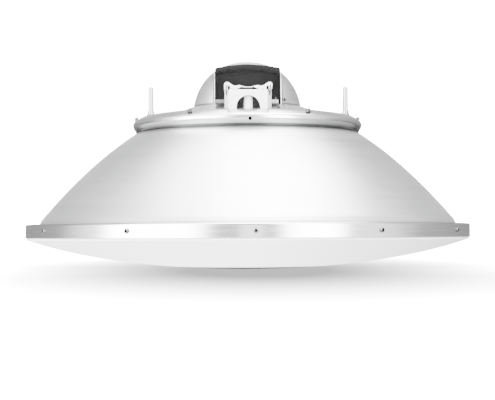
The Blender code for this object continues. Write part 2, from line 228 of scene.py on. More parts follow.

# Painted shadow of the hood on the ring: its grey, and where each edge of it starts and where it is full
PAINTED_HOOD_SHADOW_LEVEL = 0.016
PAINTED_HOOD_SHADOW_SIDE = (48.8, 46.0)
PAINTED_HOOD_SHADOW_FRONT = (-56.0, -60.0)
PAINTED_HOOD_SHADOW_RIM = (158.0, 148.0)
PAINTED_HOOD_SHADOW_BRACKET = (19.0, 24.0)
# Painted light on the hood plastic: height where its paling towards the roof starts and where it is full
ROOF_PAINTED_LIGHT = (273.0, 291.0)

# Studio floor and backdrop, in metres
BACKDROP_GLOW = 24.0
BACKDROP_RADIUS = 29.0
FLOOR_RADIUS = 30.0
FLOOR_NEAR_RADIUS = 0.9
FILL_RADIUS = 0.12
FILL_HEIGHT = 0.0005
SEEN_HEIGHT = -0.0002
FILL_GLOW = 6.0
FILL_RIGHT = 0.3
FILL_RIGHT_RANGE = (-0.02, 0.36)
FILL_LEFT = 0.75
FILL_LEFT_RANGE = (-0.32, -0.1)
# Painted shadow of the dish on the floor that the camera sees, in metres
SHADOW_CENTRE = -0.15
SHADOW_FRONT = 0.92
SHADOW_REAR = 1.6
SHADOW_SIDE = 0.012
SHADOW_HALF = 0.36
SHADOW_WIDER = 0.87
SHADOW_WIDENS = (-0.2, 0.12)
SHADOW_CORE = 0.8
SHADOW_NEAR = 0.265
SHADOW_FAR = 1.015

# Studio light, in degrees and strength of the world
ROOM_FRONT = 1.7
ROOM_BACK = 0.47
ROOM_LOW = 0.45
ROOM_TURN = (0.0, 170.0)
ROOM_RISE = (-12.0, 4.0)
PANEL_GLOW = 25.0
PANEL_LEFT = 0.52
PANEL_RISE = (50.0, 72.0)
PANEL_SIDES = (-0.25, -0.04)
BACK_LIGHT_TURN = (160.0, 174.0)
BACK_LIGHT_RISE = (34.0, 24.0, 10.0)  # middle, and how far from it the light ends and is full
# azimuth, half width, soft edge, elevation, half height, soft edge, strength
SOFT_BOXES = (
    (-49.0, 17.0, 16.0, 14.0, 26.0, 14.0, 24.0),
    (-74.0, 4.0, 34.0, 14.0, 26.0, 14.0, 2.8),
    (32.0, 8.0, 12.0, 14.0, 26.0, 14.0, 24.0),
    (58.0, 4.0, 36.0, 14.0, 26.0, 14.0, 2.2),
    (-92.0, 20.0, 25.0, 44.0, 8.0, 14.0, 0.5),
    (92.0, 20.0, 25.0, 44.0, 8.0, 14.0, 0.7),
    (1.0, 3.0, 5.0, 0.0, 3.0, 4.0, 3.5),
)

# Camera and image
IMAGE_WIDTH = 495.0
FOCAL_PIXELS = 1350.0
CAMERA_DISTANCE = 2000.0
CAMERA_AZIMUTH = -1.0
CAMERA_HEIGHT = 50.0
CAMERA_PITCH = 1.46
CAMERA_YAW = 0.006
CAMERA_ROLL = 0.25
SENSOR_WIDTH = 36.0
CLIP_END = 100.0


# ---------------------------------------------------------------- mesh tools

def add_object(name, mesh, finish):
    obj = bpy.data.objects.new(name, mesh)
    bpy.context.scene.collection.objects.link(obj)
    if finish is not None:
        mesh.materials.append(finish)
    return obj


def finish_mesh(bm, name):
    bmesh.ops.remove_doubles(bm, verts=bm.verts, dist=MERGE_METRES)
    bmesh.ops.recalc_face_normals(bm, faces=bm.faces)
    mesh = bpy.data.meshes.new(name)
    bm.to_mesh(mesh)
    bm.free()
    return mesh


def smooth(obj, degrees=SHARP_ANGLE):
    obj.data.shade_smooth()
    obj.data.set_sharp_from_angle(angle=math.radians(degrees))


def arc(centre, radius, start, end, steps):
    points = []
    for step in range(steps + 1):
        angle = math.radians(start + (end - start) * step / steps)
        points.append((centre[0] + radius * math.cos(angle), centre[1] + radius * math.sin(angle)))
    return points


def spaced(low, high, count):
    return [low + (high - low) * step / (count - 1) for step in range(count)]


def curve_through(points, steps):
    """A smooth open curve through the points."""
    result = []
    last = len(points) - 1
    for index in range(last):
        p0 = points[max(index - 1, 0)]
        p1 = points[index]
        p2 = points[index + 1]
        p3 = points[min(index + 2, last)]
        for step in range(steps):
            t = step / steps
            point = []
            for axis in range(2):
                a = 2.0 * p1[axis]
                b = p2[axis] - p0[axis]
                c = 2.0 * p0[axis] - 5.0 * p1[axis] + 4.0 * p2[axis] - p3[axis]
                d = 3.0 * p1[axis] - p0[axis] - 3.0 * p2[axis] + p3[axis]
                point.append(0.5 * (a + b * t + c * t * t + d * t * t * t))
            result.append(tuple(point))
    result.append(tuple(points[-1]))
    return result


def rounded_path(corners, steps=14):
    """An open outline through (x, z, fillet) corners, rounded by the fillet at each inner one."""
    path = [Vector(corners[0][:2])]
    for before, corner, after in zip(corners, corners[1:], corners[2:]):
        point = Vector(corner[:2])
        back = (Vector(before[:2]) - point).normalized()
        ahead = (Vector(after[:2]) - point).normalized()
        half = back.angle(ahead) / 2.0
        centre = point + (back + ahead).normalized() * (corner[2] / math.sin(half))
        start = point + back * (corner[2] / math.tan(half)) - centre
        sweep = start.angle_signed(point + ahead * (corner[2] / math.tan(half)) - centre)
        for step in range(steps + 1):
            path.append(centre + Matrix.Rotation(-sweep * step / steps, 2) @ start)
    path.append(Vector(corners[-1][:2]))
    return [(point.x, point.y) for point in path]


def offset_inward(points, distance):
    """Moves each point of an open outline to the right of its run."""
    moved = []
    for index, (x, z) in enumerate(points):
        before = points[max(index - 1, 0)]
        after = points[min(index + 1, len(points) - 1)]
        along = (after[0] - before[0], after[1] - before[1])
        length = math.hypot(*along)
        moved.append((x + distance * along[1] / length, z - distance * along[0] / length))
    return moved


def lathe(name, profile, finish, segments=SEGMENTS, degrees=SHARP_ANGLE):
    """Turns a closed (radius, height) outline in millimetres about the dish axis."""
    bm = bmesh.new()
    rings = []
    for radius, height in profile:
        if radius < ON_AXIS:
            rings.append([bm.verts.new((0.0, 0.0, height * MM))])
            continue
        reach = radius * MM
        rings.append([bm.verts.new((reach * math.cos(angle), reach * math.sin(angle), height * MM))
                      for angle in around(segments)])
    for index, ring in enumerate(rings):
        following = rings[(index + 1) % len(rings)]
        if len(ring) == 1 and len(following) == 1:
            continue
        for step in range(segments):
            after = (step + 1) % segments
            quad = [ring[step % len(ring)], ring[after % len(ring)],
                    following[after % len(following)], following[step % len(following)]]
            bm.faces.new(list(dict.fromkeys(quad)))
    obj = add_object(name, finish_mesh(bm, name), finish)
    smooth(obj, degrees)
    return obj


def extrude_outline(name, outline, low, high, finish, axis="Z"):
    """The outline lies in XY for axis Z, in XZ for axis Y and in YZ for axis X."""
    bm = bmesh.new()
    ends = []
    for level in (low, high):
        if axis == "Z":
            points = [(u * MM, v * MM, level * MM) for u, v in outline]
        elif axis == "Y":
            points = [(u * MM, level * MM, v * MM) for u, v in outline]
        else:
            points = [(level * MM, u * MM, v * MM) for u, v in outline]
        ends.append([bm.verts.new(point) for point in points])
    count = len(outline)
    bm.faces.new(ends[0])
    bm.faces.new(ends[1])
    for index in range(count):
        after = (index + 1) % count
        bm.faces.new((ends[0][index], ends[0][after], ends[1][after], ends[1][index]))
    return add_object(name, finish_mesh(bm, name), finish)


def block(name, low, high, finish=None):
    outline = [(low[0], low[1]), (high[0], low[1]), (high[0], high[1]), (low[0], high[1])]
    return extrude_outline(name, outline, low[2], high[2], finish)


def aim(place, direction):
    """Turns +Z to a direction and moves the origin to a place in millimetres."""
    turn = Vector(direction).normalized().to_track_quat("Z", "Y").to_matrix().to_4x4()
    return Matrix.Translation(Vector(place) * MM) @ turn


def turned(name, profile, finish, segments, place, direction):
    obj = lathe(name, profile, finish, segments)
    obj.data.transform(aim(place, direction))
    return obj


def bake(obj):
    """Applies the modifiers of an object."""
    graph = bpy.context.evaluated_depsgraph_get()
    result = bpy.data.meshes.new_from_object(obj.evaluated_get(graph))
    obj.modifiers.clear()
    former = obj.data
    obj.data = result
    result.name = obj.name
    bpy.data.meshes.remove(former)


def cut(target, cutter):
    """Cuts one closed mesh from another; new faces take the cutter's material, where it has one."""
    modifier = target.modifiers.new("cut", "BOOLEAN")
    modifier.operation = "DIFFERENCE"
    modifier.solver = "EXACT"
    modifier.material_mode = "TRANSFER"
    modifier.object = cutter
    bake(target)
    bpy.data.objects.remove(cutter)


def soften(obj, width, segments=3):
    """Rounds the sharp edges."""
    modifier = obj.modifiers.new("round", "BEVEL")
    modifier.width = width * MM
    modifier.segments = segments
    modifier.limit_method = "ANGLE"
    modifier.angle_limit = math.radians(SHARP_ANGLE)
    bake(obj)
    smooth(obj)
    return obj


def shift(obj, across):
    """Moves an object's shape sideways by a distance in millimetres."""
    obj.data.transform(Matrix.Translation((across * MM, 0.0, 0.0)))
    return obj


def bore_cutter(places, ways, radius, length, sides=24):
    """Round cutters of one radius in a single object."""
    profile = [(0.0, 0.0), (radius, 0.0), (radius, length), (0.0, length)]
    parts = [turned("bore", profile, None, sides, place, way) for place, way in zip(places, ways)]
    bm = bmesh.new()
    for piece in parts:
        bm.from_mesh(piece.data)
        bpy.data.objects.remove(piece)
    mesh = bpy.data.meshes.new("bore_cutter")
    bm.to_mesh(mesh)
    bm.free()
    return add_object("bore_cutter", mesh, None)


def dress_faces(obj, finish, test):
    """Gives a second finish to the faces whose centre and normal, in millimetres, pass the test."""
    obj.data.materials.append(finish)
    slot = len(obj.data.materials) - 1
    for face in obj.data.polygons:
        if test(face.center / MM, face.normal):
            face.material_index = slot


def around(count, start=0.0):
    return [math.radians(start) + 2.0 * math.pi * step / count for step in range(count)]


def stands_for(piece, slot, *nodes):
    """Ties a piece to the frame's root body and hides the nodes that it stands for; the slot is not
    used.
    """
    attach(piece, "root")
    if nodes:
        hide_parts(*nodes)


# ---------------------------------------------------------------- materials

class Nodes:
    """A node tree with short ways to add sums and ramps."""

    def __init__(self, tree, coordinates):
        self.tree = tree
        self.place = self.node("ShaderNodeTexCoord").outputs[coordinates]

    def node(self, kind, **settings):
        made = self.tree.nodes.new(kind)
        for name, value in settings.items():
            setattr(made, name, value)
        return made

    def link(self, start, end):
        self.tree.links.new(start, end)

    def math(self, operation, first, second=None):
        made = self.node("ShaderNodeMath", operation=operation)
        for socket, value in zip(made.inputs, (first, second)):
            if value is None:
                continue
            if isinstance(value, (int, float)):
                socket.default_value = value
            else:
                self.link(value, socket)
        return made.outputs[0]

    def length(self, x, y):
        squares = [self.math("MULTIPLY", value, value) for value in (x, y)]
        return self.math("SQRT", self.math("ADD", *squares))

    def split(self):
        made = self.node("ShaderNodeSeparateXYZ")
        self.link(self.place, made.inputs[0])
        return made.outputs

    def spread(self, value, low, high, start=0.3, end=0.7, ease="LINEAR"):
        """Maps the range from start to end, by default that of a noise, onto low to high."""
        made = self.node("ShaderNodeMapRange", interpolation_type=ease)
        self.link(value, made.inputs["Value"])
        made.inputs["From Min"].default_value = start
        made.inputs["From Max"].default_value = end
        made.inputs["To Min"].default_value = low
        made.inputs["To Max"].default_value = high
        return made.outputs["Result"]


class Finish(Nodes):
    """A node material with short ways to add noise, blends and bumps."""

    def __init__(self, name):
        self.material = bpy.data.materials.new(name)
        self.material.use_nodes = True
        super().__init__(self.material.node_tree, "Object")
        self.shader = self.tree.nodes["Principled BSDF"]
        self.normal = None

    def surface(self, kind):
        """Puts another kind of shader in place of the Principled one."""
        self.tree.nodes.remove(self.shader)
        self.shader = self.node(kind)
        output = [n for n in self.tree.nodes if n.type == "OUTPUT_MATERIAL"][0]
        self.link(self.shader.outputs[0], output.inputs["Surface"])
        return self.shader

    def noise(self, scale, detail=3.0, roughness=0.5, vector=None):
        made = self.node("ShaderNodeTexNoise")
        made.inputs["Scale"].default_value = scale
        made.inputs["Detail"].default_value = detail
        made.inputs["Roughness"].default_value = roughness
        self.link(vector if vector is not None else self.place, made.inputs["Vector"])
        return made.outputs["Fac"]

    def axis(self, index):
        return self.split()[index]

    def fade(self, value, start, end):
        """Rises from 0 at start to 1 at end, both in millimetres."""
        return self.spread(value, 0.0, 1.0, start * MM, end * MM)

    def cells(self, scale):
        made = self.node("ShaderNodeTexVoronoi")
        made.inputs["Scale"].default_value = scale
        self.link(self.place, made.inputs["Vector"])
        return made.outputs["Distance"]

    def ring_vector(self, radial, vertical, angular):
        """Coordinates about the dish axis: radius, height and the way round, each with its own scale."""
        x, y, z = self.split()
        join = self.node("ShaderNodeCombineXYZ")
        self.link(self.math("MULTIPLY", self.length(x, y), radial), join.inputs[0])
        self.link(self.math("MULTIPLY", z, vertical), join.inputs[1])
        self.link(self.math("MULTIPLY", self.math("ARCTAN2", y, x), angular), join.inputs[2])
        return join.outputs[0]

    def blend(self, factor, first, second):
        made = self.node("ShaderNodeMix", data_type="RGBA")
        self.link(factor, made.inputs["Factor"])
        for name, value in (("A", first), ("B", second)):
            socket = [s for s in made.inputs if s.name == name and s.type == "RGBA"][0]
            if isinstance(value, tuple):
                socket.default_value = (*value, 1.0)
            else:
                self.link(value, socket)
        return [s for s in made.outputs if s.type == "RGBA"][0]

    def bump(self, height, distance, strength=1.0):
        made = self.node("ShaderNodeBump")
        made.inputs["Strength"].default_value = strength
        made.inputs["Distance"].default_value = distance
        self.link(height, made.inputs["Height"])
        if self.normal is not None:
            self.link(self.normal, made.inputs["Normal"])
        self.normal = made.outputs["Normal"]

    def done(self, **sockets):
        for name, value in sockets.items():
            socket = self.shader.inputs[name.replace("_", " ")]
            if hasattr(value, "node"):
                self.link(value, socket)
            else:
                socket.default_value = value
        if self.normal is not None:
            self.link(self.normal, self.shader.inputs["Normal"])
        return self.material


def paint_finish(name="reflector_paint", gloss=0.315, shade=REFLECTOR_SHADE, hood_shadow=0.0):
    """Satin light grey coating on spun aluminium.

    Shade gives height bands of painted shade where the paint lies in deep shadow, and the last argument
    is the grey of the painted shadow that the hood throws forwards on both sides of the bracket.
    """
    finish = Finish(name)
    x = finish.math("ABSOLUTE", finish.axis(0))
    cloud = finish.noise(7.0)
    grain = finish.noise(1400.0, 2.0)
    turned_marks = finish.noise(1.0, 2.0, 0.5, finish.ring_vector(260.0, 260.0, 0.6))
    colour = finish.blend(finish.spread(cloud, 0.0, 1.0), (0.585, 0.592, 0.598), (0.635, 0.64, 0.642))
    colour = finish.blend(finish.spread(grain, 0.0, 0.35), colour, (0.70, 0.705, 0.71))
    metal = PAINT_METAL
    for full, clear, depth, flank in shade:
        band = finish.spread(finish.axis(2), depth, 0.0, full * MM, clear * MM)
        if flank:
            flanks = finish.spread(x, 1.0 - flank, 1.0 + flank, FLANK_START * MM, FLANK_END * MM)
            band = finish.math("MULTIPLY", band, flanks)
        # painted shade: each band blends the paint towards near black
        colour = finish.blend(band, colour, (0.02, 0.02, 0.021))
    # painted shadow of the hood: a dark grey patch without the metal's sheen, on both sides of the
    # bracket
    if hood_shadow:
        y = finish.axis(1)
        mask = finish.fade(x, *PAINTED_HOOD_SHADOW_SIDE)
        for value, edge in ((y, PAINTED_HOOD_SHADOW_FRONT), (finish.length(x, y), PAINTED_HOOD_SHADOW_RIM), (x, PAINTED_HOOD_SHADOW_BRACKET)):
            mask = finish.math("MULTIPLY", mask, finish.fade(value, *edge))
        colour = finish.blend(mask, colour, (hood_shadow, hood_shadow, 1.02 * hood_shadow))
        metal = finish.math("MULTIPLY", finish.math("SUBTRACT", 1.0, mask), metal)
    rough = finish.math("ADD", finish.spread(cloud, gloss - 0.025, gloss + 0.025),
                        finish.spread(turned_marks, -0.02, 0.03))
    finish.bump(grain, 0.00006, 0.5)
    finish.bump(turned_marks, 0.00008, 0.25)
    return finish.done(Base_Color=colour, Roughness=rough, Metallic=metal, Specular_IOR_Level=0.1)


def shadow_finish(name, level):
    """Painted shade: a dark grey that stands for the shadow in slots, grooves, recesses, the casting's
    inside and under the hood.
    """
    finish = Finish(name)
    cloud = finish.noise(160.0)
    colour = finish.blend(finish.spread(cloud, 0.0, 1.0), (level,) * 3, (1.6 * level,) * 3)
    rough = finish.spread(cloud, 0.6, 0.75)
    finish.bump(cloud, 0.0002, 0.4)
    return finish.done(Base_Color=colour, Roughness=rough, Specular_IOR_Level=0.05)


def band_finish():
    """Bright rolled aluminium strip with fine marks along its length."""
    finish = Finish("rim_aluminium")
    streaks = finish.noise(1.0, 4.0, 0.6, finish.ring_vector(900.0, 900.0, 5.0))
    cloud = finish.noise(12.0, 2.0)
    colour = finish.blend(finish.spread(streaks, 0.0, 1.0), (0.60, 0.605, 0.61), (0.70, 0.705, 0.71))
    rough = finish.math("ADD", finish.spread(streaks, 0.13, 0.2), finish.spread(cloud, -0.02, 0.02))
    finish.bump(streaks, 0.00003, 0.35)
    return finish.done(Base_Color=colour, Roughness=rough, Metallic=1.0)


def radome_finish():
    """Matt white moulding with a fine orange peel."""
    finish = Finish("radome_plastic")
    cloud = finish.noise(6.0)
    peel = finish.noise(420.0, 2.0)
    grain = finish.noise(2600.0, 2.0)
    colour = finish.blend(finish.spread(cloud, 0.0, 1.0), (0.80, 0.80, 0.785), (0.84, 0.84, 0.825))
    colour = finish.blend(finish.spread(grain, 0.0, 0.3), colour, (0.87, 0.87, 0.86))
    finish.bump(peel, 0.00006, 0.5)
    finish.bump(grain, 0.00003, 0.5)
    return finish.done(Base_Color=colour, Roughness=finish.spread(peel, 0.4, 0.5))


def hood_finish(name="hood_plastic", level=0.005, roof_light=1.0):
    """Black moulded plastic with an eroded grain, with painted light that pales it towards the roof by a
    factor.
    """
    finish = Finish(name)
    cloud = finish.noise(30.0)
    pits = finish.cells(900.0)
    colour = finish.blend(finish.spread(cloud, 0.0, 1.0), (level,) * 3, (1.45 * level,) * 3)
    colour = finish.blend(finish.fade(finish.axis(2), *ROOF_PAINTED_LIGHT), colour, (roof_light * level,) * 3)
    rough = finish.spread(cloud, 0.6, 0.7)
    finish.bump(pits, 0.00012, 0.5)
    return finish.done(Base_Color=colour, Roughness=rough, Specular_IOR_Level=0.1)


def casting_finish(name="cast_white", level=0.7):
    """White powder coat over a casting."""
    finish = Finish(name)
    cloud = finish.noise(25.0)
    peel = finish.noise(650.0, 2.0)
    skin = finish.noise(130.0)
    colour = finish.blend(finish.spread(cloud, 0.0, 1.0), (level,) * 3, (1.085 * level,) * 3)
    finish.bump(skin, 0.00018, 0.35)
    finish.bump(peel, 0.00008, 0.5)
    return finish.done(Base_Color=colour, Roughness=finish.spread(peel, 0.34, 0.44))


def steel_finish(name="fastener_steel", colour=(0.3, 0.3, 0.296)):
    """Bright zinc on steel."""
    finish = Finish(name)
    cloud = finish.noise(220.0)
    fine = finish.noise(2400.0, 2.0)
    lighter = tuple(min(1.0, c * 1.16) for c in colour)
    tint = finish.blend(finish.spread(cloud, 0.0, 1.0), colour, lighter)
    finish.bump(fine, 0.00003, 0.2)
    return finish.done(Base_Color=tint, Roughness=finish.spread(cloud, 0.17, 0.25), Metallic=1.0)


# ---------------------------------------------------------------- pieces

def dish_height(radius, inside=0.0):
    """Height of the paraboloid at a radius, or of its inside at a sheet's depth."""
    slope = radius / (2.0 * FOCAL_LENGTH)
    drop = inside * math.sqrt(1.0 + slope * slope)
    return VERTEX_HEIGHT - radius * radius / (4.0 * FOCAL_LENGTH) - drop


def dish_radius(height):
    return math.sqrt(4.0 * FOCAL_LENGTH * (VERTEX_HEIGHT - height))


def build_reflector(finish):
    seat_edge = dish_radius(SEAT_HEIGHT)
    low = FLANGE_TOP - REFLECTOR_SHEET
    outer = [(FEED_BORE_RADIUS, SEAT_HEIGHT), (seat_edge - 2.0, SEAT_HEIGHT)]
    outer += [(r, dish_height(r)) for r in spaced(seat_edge + 1.0, REFLECTOR_EDGE - 1.5, 48)]
    toe = arc((REFLECTOR_EDGE + TOE_OUT, FLANGE_TOP + TOE_RADIUS), TOE_RADIUS, 220, 270, 4)
    flange = [(FLANGE_RADIUS - FLANGE_CHAMFER, FLANGE_TOP), (FLANGE_RADIUS, FLANGE_TOP - FLANGE_CHAMFER),
              (FLANGE_RADIUS, low + FLANGE_CHAMFER), (FLANGE_RADIUS - FLANGE_CHAMFER, low),
              (REFLECTOR_EDGE + 0.5, low)]
    inside = spaced(seat_edge - 1.0, REFLECTOR_EDGE - 2.5, 28)
    inner = [(r, dish_height(r, REFLECTOR_SHEET)) for r in inside]
    profile = outer + toe + flange + inner[::-1] + [(FEED_BORE_RADIUS, inner[0][1])]
    stands_for(lathe("reflector_shell", profile, finish), "reflector_paint", "reflector")


def radome_height(radius):
    if radius <= RADOME_FLAT:
        return 0.0
    share = (radius * radius - RADOME_FLAT * RADOME_FLAT) / (FLANGE_RADIUS ** 2 - RADOME_FLAT ** 2)
    edge = (radius / FLANGE_RADIUS) ** RADOME_EDGE_POWER
    return RADOME_ROUND_DROP * share + RADOME_EDGE_DROP * edge


def build_radome(finish, ways):
    radii = [RADOME_FLAT] + spaced(RADOME_FLAT + 8.0, FLANGE_RADIUS - 3.4, 56)
    outer = [(r, radome_height(r)) for r in radii]
    bead_place = (FLANGE_RADIUS - BEAD_RADIUS, BAND_BOTTOM - BEAD_RADIUS - BEAD_CLEAR)
    bead = arc(bead_place, BEAD_RADIUS, -115, 0, 7)
    inner = [(r - 1.0, radome_height(r) + RADOME_SHEET) for r in radii[::2]]
    top = FLANGE_TOP - REFLECTOR_SHEET - GAP
    wall = FLANGE_RADIUS - RADOME_SHEET
    skirt = [(FLANGE_RADIUS, top - SKIRT_CHAMFER), (FLANGE_RADIUS - SKIRT_CHAMFER, top),
             (wall + SKIRT_CHAMFER, top), (wall, top - SKIRT_CHAMFER), (wall, inner[-1][1] + 2.5)]
    profile = [(0.0, 0.0)] + outer + bead + skirt + inner[::-1] + [(0.0, RADOME_SHEET)]
    radome = lathe("radome_shell", profile, finish, degrees=RADOME_SHARP_ANGLE)
    drill_rim(radome, ways)
    smooth(radome, RADOME_SHARP_ANGLE)
    stands_for(radome, "radome_plastic", "radome")


def drill_rim(target, ways):
    places = [(SCREW_BORE_START * way[0], SCREW_BORE_START * way[1], SCREW_HEIGHT) for way in ways]
    cut(target, bore_cutter(places, ways, SCREW_BORE_RADIUS, SCREW_BORE_LENGTH, sides=16))


def build_rim_band(finish, ways):
    half = BAND_SHEET / 2.0
    inner = RIM_RADIUS - BAND_SHEET - BAND_FILLET
    profile = arc((RIM_RADIUS - BAND_CORNER, BAND_TOP - BAND_CORNER), BAND_CORNER, 0, 90, 8)
    profile += arc((BAND_LIP_RADIUS + half, BAND_TOP - half), half, 90, 270, 6)
    profile += arc((inner, BAND_TOP - BAND_SHEET - BAND_FILLET), BAND_FILLET, 90, 0, 5)
    profile += arc((RIM_RADIUS - half, BAND_BOTTOM + half), half, 180, 360, 6)
    profile += [(RIM_RADIUS, BAND_BOTTOM + up) for up in BAND_LOOPS]
    band = lathe("hoop", profile, finish)
    drill_rim(band, ways)
    smooth(band)
    stands_for(band, "rim_aluminium", "rim_band")


def recess_cutter(depth, arm, half):
    """A tapered cross that sinks the driver's recess into a screw head standing along +Z."""
    corners = [(half, half), (half, arm), (-half, arm), (-half, half), (-arm, half), (-arm, -half),
               (-half, -half), (-half, -arm), (half, -arm), (half, -half), (arm, -half), (arm, half)]
    bm = bmesh.new()
    foot = RECESS_TAPER * MM
    low = [bm.verts.new((x * foot, y * foot, -depth * MM)) for x, y in corners]
    high = [bm.verts.new((x * MM, y * MM, 0.5 * MM)) for x, y in corners]
    bm.faces.new(low)
    bm.faces.new(high)
    for index in range(len(corners)):
        after = (index + 1) % len(corners)
        bm.faces.new((low[index], low[after], high[after], high[index]))
    return finish_mesh(bm, "recess")


def pan_head(size, finish, dark, foot=None):
    """Mesh of a pan head screw along +Z, with its seat at zero height and painted shade in the driver's
    recess.

    Foot is the finish of the head's foot, a painted shade, where it isn't the same as the rest.
    """
    radius, height, shank, length, depth = size
    edge = HEAD_EDGE * height
    wall_foot = HEAD_FOOT * height if foot else HEAD_BEND
    dome = [(radius * math.cos(angle), edge + (height - edge) * math.sin(angle))
            for angle in [math.radians(degrees) for degrees in range(0, 90, 10)]]
    profile = [(0.0, -length), (shank - 0.5, -length), (shank, -length + 0.5), (shank, 0.0),
               (radius - HEAD_BEND, 0.0), (radius, HEAD_BEND), (radius, wall_foot + 0.01)]
    screw = lathe("pattern", profile + dome + [(0.0, height)], finish, 40)
    arm = RECESS_ARM * radius
    recess = recess_cutter(depth, arm, RECESS_HALF * arm)
    recess.transform(Matrix.Translation((0.0, 0.0, height * MM)))
    cut(screw, add_object("recess", recess, dark))
    smooth(screw, 30.0)
    # painted shade round the head's foot, where it meets the surface
    if foot:
        dress_faces(screw, foot, lambda centre, normal: 0.0 < centre.z < DARK_FOOT * height
                    and abs(normal.z) < 0.8)
    pattern = screw.data
    bpy.data.objects.remove(screw)
    return pattern


def place_copy(pattern, name, place, direction, turn):
    mesh = pattern.copy()
    mesh.transform(aim(place, direction) @ Matrix.Rotation(math.radians(turn), 4, "Z"))
    return add_object(name, mesh, None)


def build_rim_screws(finish, dark, ways):
    pattern = pan_head(HOOP_SCREW, finish, dark)
    start = RIM_RADIUS + GAP * 0.2
    for index, way in enumerate(ways):
        number = format(index + 1, "02d")
        place = (start * way[0], start * way[1], SCREW_HEIGHT)
        screw = place_copy(pattern, "hoop_screw_" + number, place, way, 17.0 + 41.0 * index)
        stands_for(screw, "fastener_steel", "rim_screw_" + number)


def build_ring_screws(finish, dark):
    pattern = pan_head(RING_SCREW, finish, dark, dark)
    height = ring_height(RING_SCREW_RADIUS) + RING_SCREW_LIFT
    lean = math.radians(RING_SCREW_LEAN)
    for index, angle in enumerate(around(RING_SCREW_COUNT)):
        way = (math.cos(angle) * math.cos(lean), math.sin(angle) * math.cos(lean), math.sin(lean))
        place = (RING_SCREW_RADIUS * math.cos(angle), RING_SCREW_RADIUS * math.sin(angle), height)
        screw = place_copy(pattern, "ring_screw_" + format(index + 1, "02d"), place, way, 29.0 * index)
        stands_for(screw, "fastener_steel")


def ring_shoulder(steps=14):
    """The back ring's outer outline from its bore to its widest point."""
    crown = rounded_path(RING_CORNERS, steps)
    widest = max(range(len(crown)), key=lambda index: crown[index][0])
    return crown[:widest + 1]


def ring_height(radius):
    """Height of the back ring's outside at a radius."""
    outline = ring_shoulder()
    for (near, high), (far, low) in zip(outline, outline[1:]):
        if near <= radius <= far:
            return high + (radius - near) / (far - near) * (low - high)


def build_back_ring(finish):
    top = rounded_path(RING_CORNERS)
    under = offset_inward(top, RING_SHEET)
    middle = [0.5 * (outer + inner) for outer, inner in zip(top[-1], under[-1])]
    hem = arc(middle, 0.5 * RING_SHEET, -20, -200, 6)
    ring = lathe("spun_ring", top + hem[1:-1] + under[::-1], finish)
    drain = (DRAIN_HOLE_PLACE, DRAIN_HOLE_DEPTH - ring_shoulder()[-1][0], DRAIN_HOLE_HEIGHT)
    cut(ring, bore_cutter([drain], [(0, -1, 0)], DRAIN_HOLE_RADIUS, DRAIN_BORE_LENGTH))
    studs = [(STUD_LEFT, 0.0, STUD_BORE_FOOT), (STUD_RIGHT, 0.0, STUD_BORE_FOOT)]
    cut(ring, bore_cutter(studs, [(0, 0, 1), (0, 0, 1)], STUD_RADIUS + GAP, STUD_BORE_LENGTH))
    smooth(ring)
    stands_for(ring, "reflector_paint", "back_ring")


def foot_angle(radius):
    """Angle at which a circle about the dome's centre comes down to the hub's foot."""
    return math.degrees(math.asin((HUB_FOOT - DOME_CENTRE_HEIGHT) / radius))


def build_dome(finish):
    inner = DOME_RADIUS - DOME_SHEET
    centre = (0.0, DOME_CENTRE_HEIGHT)
    profile = arc(centre, DOME_RADIUS, foot_angle(DOME_RADIUS), DOME_END, 32)
    profile += arc((0.0, CAP_TOP - CAP_RADIUS), CAP_RADIUS, CAP_START, 90, 14)[:-1] + [(0.0, CAP_TOP)]
    profile += [(0.0, DOME_CENTRE_HEIGHT + inner)] + arc(centre, inner, 90, foot_angle(inner), 24)[1:]
    dome = lathe("dome_cap", profile, finish, 192)
    cut(dome, block("notch", NOTCH_LOW, NOTCH_HIGH))
    smooth(dome)
    stands_for(dome, "reflector_paint", "hub_dome")


def build_cheek(name, node, low, high, finish):
    radius = math.sqrt(DOME_RADIUS ** 2 - CHEEK_INNER ** 2) + CHEEK_PROUD
    rim = arc((0.0, DOME_CENTRE_HEIGHT), radius, 90.0, 180.0 - foot_angle(radius), 48)
    cheek = extrude_outline(name, [(0.0, HUB_FOOT)] + rim, low, high, finish, axis="X")
    stands_for(soften(cheek, CHEEK_ROUND), "cast_white", node)


def build_hub_plate(finish):
    plate = block("base_plate", (PLATE_LEFT, PLATE_FRONT, HUB_FOOT),
                  (PLATE_RIGHT, PLATE_BACK, PLATE_TOP), finish)
    stands_for(soften(plate, PLATE_ROUND), "reflector_paint", "hub_plate")


def hood_outline(half, crown, roof_radius, corner, foot):
    """An arched roof on round shoulders and upright walls."""
    reach = half - corner
    lean = math.degrees(math.asin(reach / roof_radius))
    roof = arc((0.0, crown - roof_radius), roof_radius, 90 - lean, 90 + lean, 40)
    shoulder = roof[0][1] - corner
    outline = [(half, foot)] + arc((reach, shoulder), corner, 0, 75, 8) + roof
    return outline + arc((-reach, shoulder), corner, 105, 180, 8) + [(-half, foot)]


